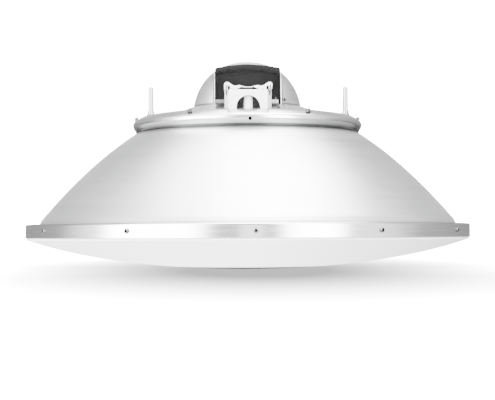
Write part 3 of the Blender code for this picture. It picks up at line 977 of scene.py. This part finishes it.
def build_hood(finish, inside):
    outer = hood_outline(HOOD_HALF, HOOD_CROWN, HOOD_ROOF_RADIUS, HOOD_CORNER, HUB_FOOT)
    hood = extrude_outline("hood_shell", outer, HOOD_FRONT, 0.0, finish, axis="Y")
    inner = hood_outline(HOOD_HALF - HOOD_WALL, HOOD_CEILING, HOOD_CEILING_RADIUS, HOOD_CORNER - 1.0,
                         HUB_FOOT - OVERRUN)
    cut(hood, extrude_outline("bay", inner, HOOD_FRONT - OVERRUN, -HOOD_BACK, None, axis="Y"))
    cut(hood, block("step", (-HOOD_HALF - OVERRUN, HOOD_FRONT - OVERRUN, HUB_FOOT - OVERRUN),
                    (PLATE_RIGHT + GAP, OVERRUN, PLATE_REST)))
    soften(hood, HOOD_ROUND, 2)
    # painted light: the hood's inside faces take a paler copy of the black plastic
    dress_faces(hood, inside, lambda centre, normal: centre.y > HOOD_FRONT + 5.0
                and (normal.y < -0.9 or normal.z < -0.3))
    stands_for(hood, "hood_plastic", "hood")


def build_tab(finish):
    # painted shade: the white tab takes a dark grey for the shade under the hood
    tab = block("tab", TAB_LOW, TAB_HIGH, finish)
    stands_for(soften(tab, TAB_ROUND), "cast_white", "latch_tab")


def build_dome_screw(finish, dark):
    up = DOME_SCREW_HEIGHT - DOME_CENTRE_HEIGHT
    front = -math.sqrt(DOME_RADIUS ** 2 - DOME_SCREW_SIDE ** 2 - up ** 2)
    pattern = pan_head(DOME_SCREW, finish, dark, dark)
    place = (DOME_SCREW_SIDE, front, DOME_SCREW_HEIGHT)
    screw = place_copy(pattern, "dome_screw", place, (DOME_SCREW_SIDE, front, up), 45.0)
    stands_for(screw, "fastener_steel")


def ring_cutter():
    """The room that the back ring takes up, for the pieces that stand on it."""
    points = offset_inward(ring_shoulder(8), -CUTTER_CLEAR)
    profile = [(points[0][0], CUTTER_FOOT)] + points + [(points[-1][0], CUTTER_FOOT)]
    return lathe("ring_cutter", profile, None)


def groove_cutters(front, low, high, finish):
    """A shallow upright groove on each side of the bracket."""
    for x in (-GROOVE_PLACE, GROOVE_PLACE):
        yield block("groove", (x - GROOVE_HALF, front - GROOVE_OVERRUN, low),
                    (x + GROOVE_HALF, front + GROOVE_DEPTH, high), finish)


def build_bracket(finish, shaded, cavity, groove_shade, dark):
    right = [(FRONT_HALF, CASTING_FRONT), (FRONT_HALF + 1.0, WING_FRONT - 1.0), (WING_HALF, WING_FRONT),
             (WING_HALF, CASTING_REAR)]
    left = [(-x, y) for x, y in right]
    outline = left[:1] + right + left[:0:-1]
    body = extrude_outline("casting", outline, CASTING_FOOT, CASTING_TOP, finish)
    wall = CASTING_WALL
    below = CASTING_FOOT - OVERRUN
    # painted shade: the cavity's faces take a dark grey
    cut(body, block("cavity", (-FRONT_HALF + wall, CASTING_FRONT + wall, below),
                    (FRONT_HALF - wall, CASTING_REAR - wall, CASTING_TOP - wall), cavity))
    soften(body, CASTING_ROUND)
    arch = [(ARCH_HALF, below)] + arc((0.0, ARCH_SPRING), ARCH_HALF, 0, 180, 48) + [(-ARCH_HALF, below)]
    cut(body, extrude_outline("arch", arch, CASTING_FRONT - OVERRUN, CASTING_FRONT + wall + 1.0,
                              None, axis="Y"))
    # the grooves' faces take painted shade
    for groove in groove_cutters(WING_FRONT, GROOVE_FOOT, CASTING_TOP + GROOVE_OVERRUN, groove_shade):
        cut(body, groove)
    # painted shade on the casting's top, in the gap under the jaw
    dress_faces(body, dark, lambda centre, normal: normal.z > 0.9 and centre.z > CASTING_TOP - 1.0
                and abs(centre.x) < FRONT_HALF)
    # painted shade: the wings' fronts, set back under the jaw, take a darker copy of the white coat
    dress_faces(body, shaded, lambda centre, normal: normal.y < -0.9 and abs(centre.x) > FRONT_HALF + 1.0
                and centre.y < WING_FRONT + 1.0)
    cut(shift(body, BRACKET_PLACE), ring_cutter())
    smooth(body)
    stands_for(body, "cast_white", "bracket_body")


def build_post(finish):
    top = CASTING_TOP - CASTING_WALL - GAP
    profile = [(0.0, CASTING_FOOT), (POST_RADIUS, CASTING_FOOT), (POST_RADIUS, top - POST_CHAMFER),
               (POST_RADIUS - POST_CHAMFER, top), (0.0, top)]
    post = turned("post", profile, finish, 64, (BRACKET_PLACE, POST_PLACE, 0.0), (0, 0, 1))
    cut(post, ring_cutter())
    smooth(post)
    stands_for(post, "cast_white", "bracket_post")


def build_jaw(finish, groove_shade, dark):
    slit = [(JAW_HALF - 0.7, JAW_FOOT)] + [(x, JAW_FOOT + up) for x, up in SLIT]
    slit_top = max(z for x, z in slit) + 0.1
    half = curve_through(JAW_WAVE, 4) + slit
    outline = half + [(-x, z) for x, z in half[::-1] if x > 0.0]
    outline = [(x + SLIT_SHIFT if abs(x) < SLIT_REACH and z < slit_top else x, z) for x, z in outline]
    jaw = extrude_outline("jaw", outline, JAW_FRONT, JAW_REAR, finish, axis="Y")
    soften(jaw, JAW_ROUND)
    below = JAW_FOOT - SLOT_OVERRUN
    # painted shade inside the slots
    for x in (-SLOT_PLACE, SLOT_PLACE):
        cut(jaw, block("slot", (x - SLOT_HALF, JAW_FRONT - SLOT_OVERRUN, below),
                       (x + SLOT_HALF, JAW_FRONT + SLOT_DEPTH, SLOT_TOP), dark))
    for groove in groove_cutters(JAW_FRONT, below, GROOVE_TOP, groove_shade):
        cut(jaw, groove)
    # painted shade on the jaw's underside in the slit
    dress_faces(jaw, dark, lambda centre, normal: normal.z < -0.2 and abs(centre.x) < SLIT[0][0])
    smooth(shift(jaw, BRACKET_PLACE))
    stands_for(jaw, "cast_white", "saddle_jaw")


def build_studs(finish):
    tip = arc((0.0, STUD_TOP - STUD_RADIUS), STUD_RADIUS, 0, 84, 10)
    shaft = [(0.0, STUD_FOOT), (STUD_RADIUS, STUD_FOOT)] + tip + [(0.0, STUD_TOP)]
    bore = STUD_RADIUS + GAP * 0.5
    low = NUT_TOP - 2.0 * NUT_HEIGHT
    flare = [(radius, NUT_TOP + up) for radius, up in NUT_FLARE]
    nut = [(bore, low), (NUT_FOOT_RADIUS, low)] + curve_through(flare, 5)
    nut += [(NUT_RADIUS - NUT_CHAMFER, NUT_TOP), (bore, NUT_TOP)]
    for across, word in ((STUD_LEFT, "left"), (STUD_RIGHT, "right")):
        place = (across, 0.0, 0.0)
        stud = turned("pin_" + word, shaft, finish, 48, place, (0, 0, 1))
        stands_for(stud, "fastener_steel", "stud_" + word)
        collar = turned("pin_nut_" + word, nut, finish, 48, place, (0, 0, 1))
        cut(collar, ring_cutter())
        smooth(collar)
        stands_for(collar, "fastener_steel", "stud_nut_" + word)


# ---------------------------------------------------------------- stage

def floor_material():
    """Pale studio floor."""
    finish = Finish("pale_floor")
    matt = finish.surface("ShaderNodeBsdfDiffuse")
    speck = finish.spread(finish.noise(40.0, 2.0), 0.0, 1.0)
    finish.link(finish.blend(speck, (0.90, 0.90, 0.90), (0.915, 0.915, 0.915)), matt.inputs["Color"])
    return finish.material


def disc(name, inner, outer, finish, height=0.0, steps=96):
    """A flat ring about the dish axis in metres, or a full disc where the inner radius is zero."""
    bm = bmesh.new()
    rims = []
    for radius in (inner, outer) if inner else (outer,):
        rims.append([bm.verts.new((radius * math.cos(angle), radius * math.sin(angle), height))
                     for angle in around(steps)])
    if inner:
        for step in range(steps):
            after = (step + 1) % steps
            bm.faces.new((rims[0][step], rims[1][step], rims[1][after], rims[0][after]))
    else:
        bm.faces.new(rims[0])
    mesh = bpy.data.meshes.new(name)
    bm.to_mesh(mesh)
    bm.free()
    return add_object(name, mesh, finish)


def glow_material(name, strength):
    """A lit surface."""
    finish = Finish(name)
    glow = finish.surface("ShaderNodeEmission")
    glow.inputs["Strength"].default_value = strength
    return finish, glow


def seen_floor_material():
    """White, evenly bright studio floor with the dish's long soft shadow painted on it, fixed to the
    ground.
    """
    finish, glow = glow_material("studio_floor", 1.0)
    x = finish.axis(0)
    y = finish.axis(1)
    narrow = finish.spread(y, 1.0 / SHADOW_HALF, SHADOW_WIDER / SHADOW_HALF, *SHADOW_WIDENS)
    across = finish.math("MULTIPLY", finish.math("SUBTRACT", x, SHADOW_SIDE), narrow)
    along = finish.math("SUBTRACT", y, SHADOW_CENTRE)
    front = finish.math("MULTIPLY", finish.math("MINIMUM", along, 0.0), 1.0 / SHADOW_FRONT)
    rear = finish.math("MULTIPLY", finish.math("MAXIMUM", along, 0.0), 1.0 / SHADOW_REAR)
    reach = finish.length(across, finish.math("ADD", front, rear))
    ramp = finish.spread(reach, 0.0, 1.0, SHADOW_NEAR, SHADOW_FAR)
    light = finish.math("MULTIPLY", finish.math("POWER", BACKDROP_GLOW / SHADOW_CORE, ramp), SHADOW_CORE)
    finish.link(light, glow.inputs["Strength"])
    return finish.material


def fill_material():
    """Light that the white floor throws up under the dish, weaker on the right and far left."""
    finish, glow = glow_material("floor_glow", FILL_GLOW)
    x = finish.axis(0)
    right = finish.spread(x, FILL_GLOW, FILL_RIGHT * FILL_GLOW, *FILL_RIGHT_RANGE)
    left = finish.spread(x, FILL_LEFT, 1.0, *FILL_LEFT_RANGE)
    finish.link(finish.math("MULTIPLY", right, left), glow.inputs["Strength"])
    return finish.material


def only_seen(obj, camera, diffuse, glossy):
    """Limits an object of the stage to some kinds of rays."""
    obj.visible_camera = camera
    obj.visible_diffuse = diffuse
    obj.visible_glossy = glossy
    obj.visible_transmission = False
    obj.visible_volume_scatter = False
    obj.visible_shadow = diffuse


def build_stage():
    near = disc("floor_near", 0.0, FLOOR_NEAR_RADIUS, floor_material())
    only_seen(near, False, True, True)
    far = disc("floor_far", FLOOR_NEAR_RADIUS, FLOOR_RADIUS, near.data.materials[0])
    only_seen(far, False, True, False)
    fill = disc("floor_fill", FILL_RADIUS, FLOOR_RADIUS, fill_material(), FILL_HEIGHT)
    only_seen(fill, False, True, False)
    seen = disc("floor_seen", 0.0, FLOOR_RADIUS, seen_floor_material(), SEEN_HEIGHT)
    only_seen(seen, True, False, False)
    bm = bmesh.new()
    bmesh.ops.create_uvsphere(bm, u_segments=48, v_segments=24, radius=BACKDROP_RADIUS)
    mesh = bpy.data.meshes.new("backdrop")
    bm.to_mesh(mesh)
    bm.free()
    backdrop = add_object("backdrop", mesh, glow_material("backdrop", BACKDROP_GLOW)[0].material)
    only_seen(backdrop, True, False, False)


def build_world():
    """Soft studio light: an overhead panel, the soft boxes, a light from behind and a dim room."""
    world = bpy.data.worlds.new("studio")
    bpy.context.scene.world = world
    world.use_nodes = True
    sky = Nodes(world.node_tree, "Generated")
    background = sky.tree.nodes["Background"]
    background.inputs["Color"].default_value = (1.0, 1.0, 1.0, 1.0)

    def fade(value, start, end, low=0.0, high=1.0):
        return sky.spread(value, low, high, start, end, "SMOOTHSTEP")

    def near(value, middle, none, full):
        """Rises from 0 to 1 as the value comes from one distance of the middle to the other."""
        return fade(sky.math("ABSOLUTE", sky.math("SUBTRACT", value, middle)), none, full)

    x, y, z = sky.split()
    azimuth = sky.math("DEGREES", sky.math("ARCTAN2", x, sky.math("MULTIPLY", y, -1.0)))
    elevation = sky.math("DEGREES", sky.math("ARCSINE", z))
    away = sky.math("ABSOLUTE", azimuth)
    room = sky.math("MULTIPLY", fade(away, *ROOM_TURN, ROOM_FRONT, ROOM_BACK),
                    fade(elevation, *ROOM_RISE, ROOM_LOW, 1.0))
    panel = sky.math("MULTIPLY", fade(elevation, *PANEL_RISE, 0.0, PANEL_GLOW),
                     fade(x, *PANEL_SIDES, PANEL_LEFT, 1.0))
    behind = sky.math("MULTIPLY", fade(away, *BACK_LIGHT_TURN), near(elevation, *BACK_LIGHT_RISE))
    total = sky.math("ADD", sky.math("ADD", room, panel), behind)
    for centre, half, soft, middle, reach, ease, strength in SOFT_BOXES:
        wide = near(azimuth, centre, half + soft, half)
        tall = near(elevation, middle, reach + ease, reach)
        total = sky.math("ADD", total, sky.math("MULTIPLY", sky.math("MULTIPLY", wide, tall), strength))
    sky.link(total, background.inputs["Strength"])


def build_camera():
    camera = bpy.data.cameras.new("camera")
    camera.sensor_fit = "HORIZONTAL"
    camera.sensor_width = SENSOR_WIDTH
    camera.lens = FOCAL_PIXELS / IMAGE_WIDTH * SENSOR_WIDTH
    camera.clip_end = CLIP_END
    azimuth = math.radians(CAMERA_AZIMUTH)
    place = Vector((CAMERA_DISTANCE * MM * math.sin(azimuth), -CAMERA_DISTANCE * MM * math.cos(azimuth),
                    CAMERA_HEIGHT * MM))
    heading = Matrix.Rotation(azimuth + math.radians(CAMERA_YAW), 4, "Z")
    pitch = Matrix.Rotation(math.radians(90.0 + CAMERA_PITCH), 4, "X")
    roll = Matrix.Rotation(math.radians(-CAMERA_ROLL), 4, "Z")
    holder = bpy.data.objects.new("camera", camera)
    holder.matrix_world = Matrix.Translation(place) @ heading @ pitch @ roll
    bpy.context.scene.collection.objects.link(holder)
    bpy.context.scene.camera = holder


def main():
    # painted shade for screw recesses, slots and gaps between parts
    dark = shadow_finish("dark_painted_shade", 0.0015)
    # painted shade in the grooves
    groove = shadow_finish("groove", 0.07)
    cavity = shadow_finish("casting_inside_painted_shade", 0.27)
    cast = casting_finish()
    screw_steel = steel_finish("screw_steel", (0.06, 0.06, 0.06))
    ways = [(math.cos(angle), math.sin(angle), 0.0) for angle in around(SCREW_COUNT, SCREW_TURN)]
    build_reflector(paint_finish())
    build_radome(radome_finish(), ways)
    build_rim_band(band_finish(), ways)
    build_rim_screws(steel_finish("rim_steel", (0.12, 0.12, 0.12)), dark, ways)
    build_back_ring(paint_finish("ring_paint", 0.2, RING_SHADE, PAINTED_HOOD_SHADOW_LEVEL))
    build_ring_screws(screw_steel, dark)
    build_dome(paint_finish("dome_paint", 0.28, DOME_SHADE))
    build_cheek("cheek_lip_left", "cheek_left", -CHEEK_OUTER, -CHEEK_INNER, cast)
    build_cheek("cheek_lip_right", "cheek_right", CHEEK_INNER, CHEEK_OUTER, cast)
    build_hub_plate(paint_finish("plate_paint", 0.24, PLATE_SHADE))
    # painted light: the hood's inside is a paler copy of its black plastic, paler still under the roof
    build_hood(hood_finish(), hood_finish("hood_inside_painted_light", 0.0125, 3.8))
    build_tab(shadow_finish("tab_painted_shade", 0.045))
    build_dome_screw(screw_steel, dark)
    # a darker copy of the white coat is painted shade on the wings
    build_bracket(cast, casting_finish("cast_wing_painted_shade", 0.36), cavity, groove, dark)
    build_post(cast)
    # painted shade for the jaw's slit and slots
    build_jaw(cast, groove, shadow_finish("slit", 0.02))
    build_studs(steel_finish())
    build_stage()
    build_world()
    build_camera()


main()
